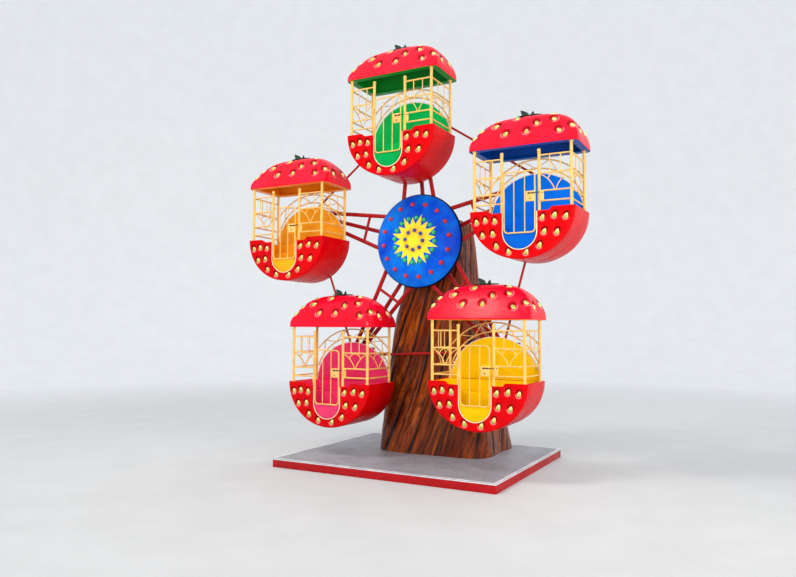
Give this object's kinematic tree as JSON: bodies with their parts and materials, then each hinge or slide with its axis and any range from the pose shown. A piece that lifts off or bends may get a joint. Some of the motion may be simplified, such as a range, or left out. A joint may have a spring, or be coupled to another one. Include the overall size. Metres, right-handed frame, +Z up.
{
  "type": "children's ferris wheel",
  "caption": "Small children's ferris wheel: fruit-shaped cabins hung in front of a tube-arm wheel that turns on a tree-trunk column standing on a low platform.",
  "frame": {"origin": "middle of the platform's underside, on the ground", "axes": "+Z up, -Y to the front where the cabins hang, +X to the right seen from the front"},
  "size_m": [4.9723, 2.74, 5.9442],
  "materials": {
    "platform_red": "red enamel on sheet steel",
    "deck_steel": "raised-pattern steel tread plate",
    "bark": "glossy painted glass-fibre bark",
    "pipe_red": "dark red enamel on steel tube",
    "disc_blue": "glossy blue glass fibre",
    "shell_red": "glossy red glass fibre",
    "rail_gold": "pale gold enamel on steel tube",
    "leaf_green": "dark green glass fibre",
    "accent_green": "glossy green paint on glass fibre and sheet",
    "accent_blue": "glossy blue paint on glass fibre and sheet",
    "accent_yellow": "glossy yellow paint on glass fibre and sheet",
    "accent_pink": "glossy pink paint on glass fibre and sheet",
    "accent_orange": "glossy orange paint on glass fibre and sheet"
  },
  "bodies": {
    "base": {"platform_frame": "platform_red", "deck_plate": "deck_steel", "trunk": "bark", "bearing_housing": "pipe_red"},
    "wheel": {"hub_core": "pipe_red", "hub_disc": "disc_blue", "arm_green": "pipe_red", "tie_rod_green": "pipe_red", "arm_blue": "pipe_red", "tie_rod_blue": "pipe_red", "arm_yellow": "pipe_red", "tie_rod_yellow": "pipe_red", "arm_pink": "pipe_red", "tie_rod_pink": "pipe_red", "arm_orange": "pipe_red", "tie_rod_orange": "pipe_red"},
    "green_cabin": {"tub_green": "shell_red", "bench_green": "accent_green", "left_railing_green": "rail_gold", "right_railing_green": "rail_gold", "back_panel_green": "accent_green", "roof_green": "shell_red", "leaves_green": "leaf_green"},
    "green_door": {"door_green": "accent_green"},
    "blue_cabin": {"tub_blue": "shell_red", "bench_blue": "accent_blue", "left_railing_blue": "rail_gold", "right_railing_blue": "rail_gold", "back_panel_blue": "accent_blue", "roof_blue": "shell_red", "leaves_blue": "leaf_green"},
    "blue_door": {"door_blue": "accent_blue"},
    "yellow_cabin": {"tub_yellow": "shell_red", "bench_yellow": "accent_yellow", "left_railing_yellow": "rail_gold", "right_railing_yellow": "rail_gold", "back_panel_yellow": "accent_yellow", "roof_yellow": "shell_red", "leaves_yellow": "leaf_green"},
    "yellow_door": {"door_yellow": "accent_yellow"},
    "pink_cabin": {"tub_pink": "shell_red", "bench_pink": "accent_pink", "left_railing_pink": "rail_gold", "right_railing_pink": "rail_gold", "back_panel_pink": "accent_pink", "roof_pink": "shell_red", "leaves_pink": "leaf_green"},
    "pink_door": {"door_pink": "accent_pink"},
    "orange_cabin": {"tub_orange": "shell_red", "bench_orange": "accent_orange", "left_railing_orange": "rail_gold", "right_railing_orange": "rail_gold", "back_panel_orange": "accent_orange", "roof_orange": "shell_red", "leaves_orange": "leaf_green"},
    "orange_door": {"door_orange": "accent_orange"}
  },
  "joints": [
    {"name": "wheel_spin", "type": "hinge", "parent": "base", "child": "wheel", "pos_m": [0, -0.13, 3.14], "axis": [0, 1, 0], "continuous": true},
    {"name": "green_cabin_pivot", "type": "hinge", "parent": "wheel", "child": "green_cabin", "pos_m": [-0.08528, -0.13, 5.01806], "axis": [0, 1, 0], "continuous": true},
    {"name": "green_door_hinge", "type": "hinge", "parent": "green_cabin", "child": "green_door", "pos_m": [-0.32228, -0.908, 5.01806], "axis": [0, 0, -1], "range_deg": [0, 95]},
    {"name": "blue_cabin_pivot", "type": "hinge", "parent": "wheel", "child": "blue_cabin", "pos_m": [1.75979, -0.13, 3.80146], "axis": [0, 1, 0], "continuous": true},
    {"name": "blue_door_hinge", "type": "hinge", "parent": "blue_cabin", "child": "blue_door", "pos_m": [1.52279, -0.908, 3.80146], "axis": [0, 0, -1], "range_deg": [0, 95]},
    {"name": "yellow_cabin_pivot", "type": "hinge", "parent": "wheel", "child": "yellow_cabin", "pos_m": [1.17289, -0.13, 1.67074], "axis": [0, 1, 0], "continuous": true},
    {"name": "yellow_door_hinge", "type": "hinge", "parent": "yellow_cabin", "child": "yellow_door", "pos_m": [0.93589, -0.908, 1.67074], "axis": [0, 0, -1], "range_deg": [0, 95]},
    {"name": "pink_cabin_pivot", "type": "hinge", "parent": "wheel", "child": "pink_cabin", "pos_m": [-1.0349, -0.13, 1.57049], "axis": [0, 1, 0], "continuous": true},
    {"name": "pink_door_hinge", "type": "hinge", "parent": "pink_cabin", "child": "pink_door", "pos_m": [-1.2719, -0.908, 1.57049], "axis": [0, 0, -1], "range_deg": [0, 95]},
    {"name": "orange_cabin_pivot", "type": "hinge", "parent": "wheel", "child": "orange_cabin", "pos_m": [-1.8125, -0.13, 3.63925], "axis": [0, 1, 0], "continuous": true},
    {"name": "orange_door_hinge", "type": "hinge", "parent": "orange_cabin", "child": "orange_door", "pos_m": [-2.0495, -0.908, 3.63925], "axis": [0, 0, -1], "range_deg": [0, 95]}
  ],
  "couplings": [
    {"joint": "green_cabin_pivot", "follows": "wheel_spin", "ratio": -1},
    {"joint": "blue_cabin_pivot", "follows": "wheel_spin", "ratio": -1},
    {"joint": "yellow_cabin_pivot", "follows": "wheel_spin", "ratio": -1},
    {"joint": "pink_cabin_pivot", "follows": "wheel_spin", "ratio": -1},
    {"joint": "orange_cabin_pivot", "follows": "wheel_spin", "ratio": -1}
  ]
}
